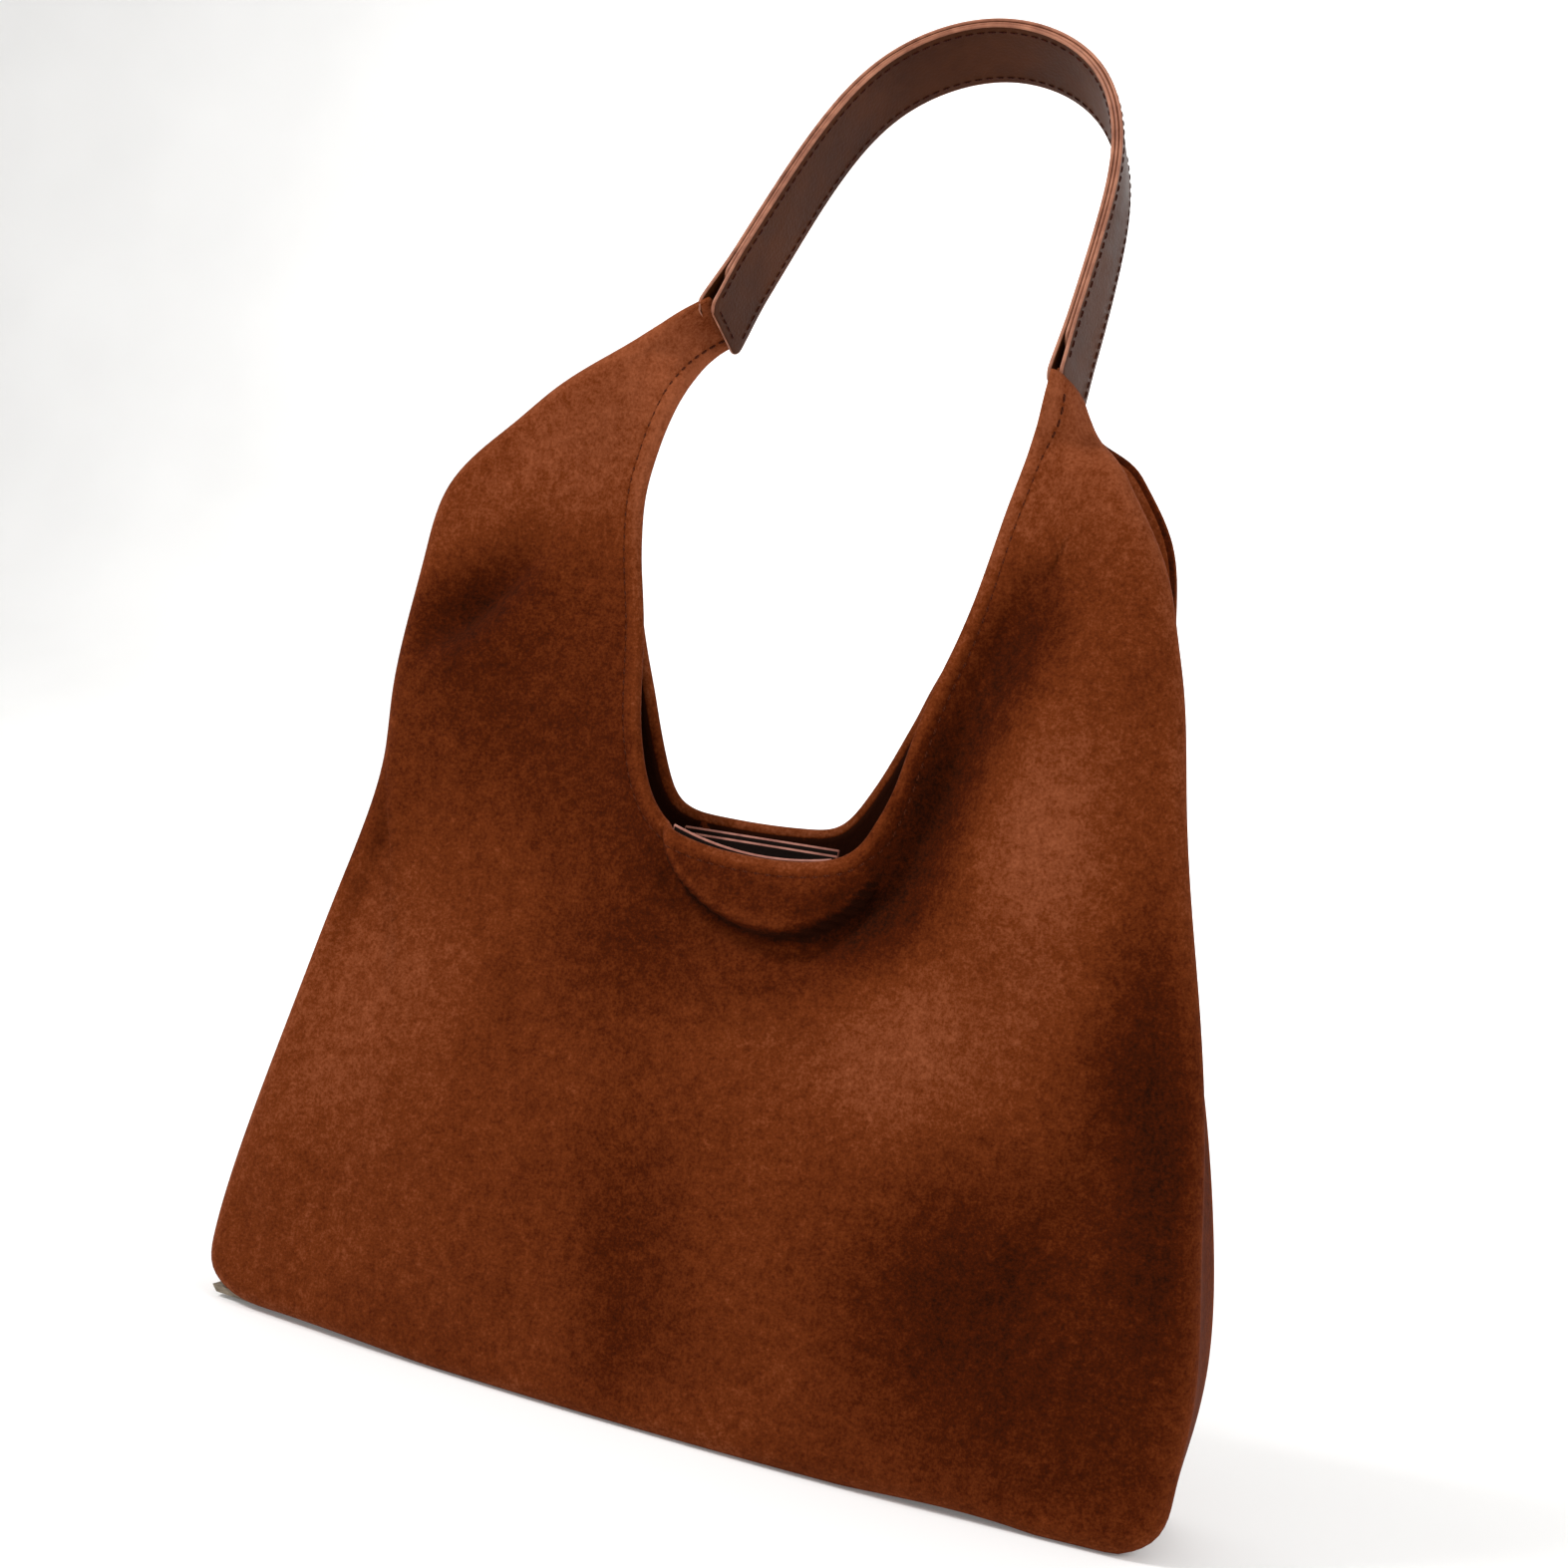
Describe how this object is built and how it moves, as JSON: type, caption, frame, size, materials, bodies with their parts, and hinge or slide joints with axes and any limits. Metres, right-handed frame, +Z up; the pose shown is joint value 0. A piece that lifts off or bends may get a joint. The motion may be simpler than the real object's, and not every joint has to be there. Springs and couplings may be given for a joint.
{
  "type": "hobo bag",
  "caption": "Soft suede hobo bag with gussets, a deep scooped mouth, magnetic tabs inside the rims, and a flat leather shoulder strap held between two horns.",
  "frame": {"origin": "middle of the flat base, on the surface that the bag stands on", "axes": "+Z up, +X along the width to the right as seen from the front, +Y from the front panel to the back panel"},
  "size_m": [0.3865, 0.1178, 0.5518],
  "materials": {
    "suede": "napped suede, cognac brown, matt",
    "strap_leather": "smooth leather, dark brown, satin, painted edges",
    "strap_core": "bonded leather fibre, matt",
    "tab_leather": "smooth leather, dark brown, satin, pinkish brown painted edges",
    "lining_cloth": "woven cotton twill, near black, matt",
    "board": "stiff sheet, matt",
    "snap_metal": "light antique brass plating on steel, satin",
    "magnet": "sintered ferrite, matt"
  },
  "bodies": {
    "bag": {"front_panel": "suede", "back_panel": "suede", "left_gusset": "suede", "right_gusset": "suede", "base_panel": "suede", "front_facing": "suede", "back_facing": "suede", "left_horn_tip": "suede", "right_horn_tip": "suede", "lining_front": "lining_cloth", "lining_back": "lining_cloth", "lining_left": "lining_cloth", "lining_right": "lining_cloth", "lining_base": "lining_cloth", "slip_pocket": "lining_cloth", "base_board": "board"},
    "strap": {"strap_outer": "strap_leather", "strap_core": "strap_core", "strap_inner": "strap_leather"},
    "front_tab": {"front_tab": "tab_leather", "snap_stud": "snap_metal", "stud_washer": "snap_metal"},
    "back_tab": {"back_tab": "tab_leather", "snap_cap": "snap_metal", "snap_magnet": "magnet", "snap_plate": "snap_metal", "plate_washer": "snap_metal"}
  },
  "joints": [
    {"name": "strap_swing", "type": "hinge", "parent": "bag", "child": "strap", "pos_m": [0.0155, 0, 0.392], "axis": [1, 0, 0], "range_deg": [-78, 122], "deforming": ["left_horn_tip", "right_horn_tip"]},
    {"name": "front_tab_swing", "type": "hinge", "parent": "bag", "child": "front_tab", "pos_m": [0.001, -0.01289, 0.209], "axis": [1, 0, 0], "range_deg": [0, 15]},
    {"name": "back_tab_swing", "type": "hinge", "parent": "bag", "child": "back_tab", "pos_m": [0.001, 0.01231, 0.217], "axis": [-1, 0, 0], "range_deg": [0, 15]}
  ]
}
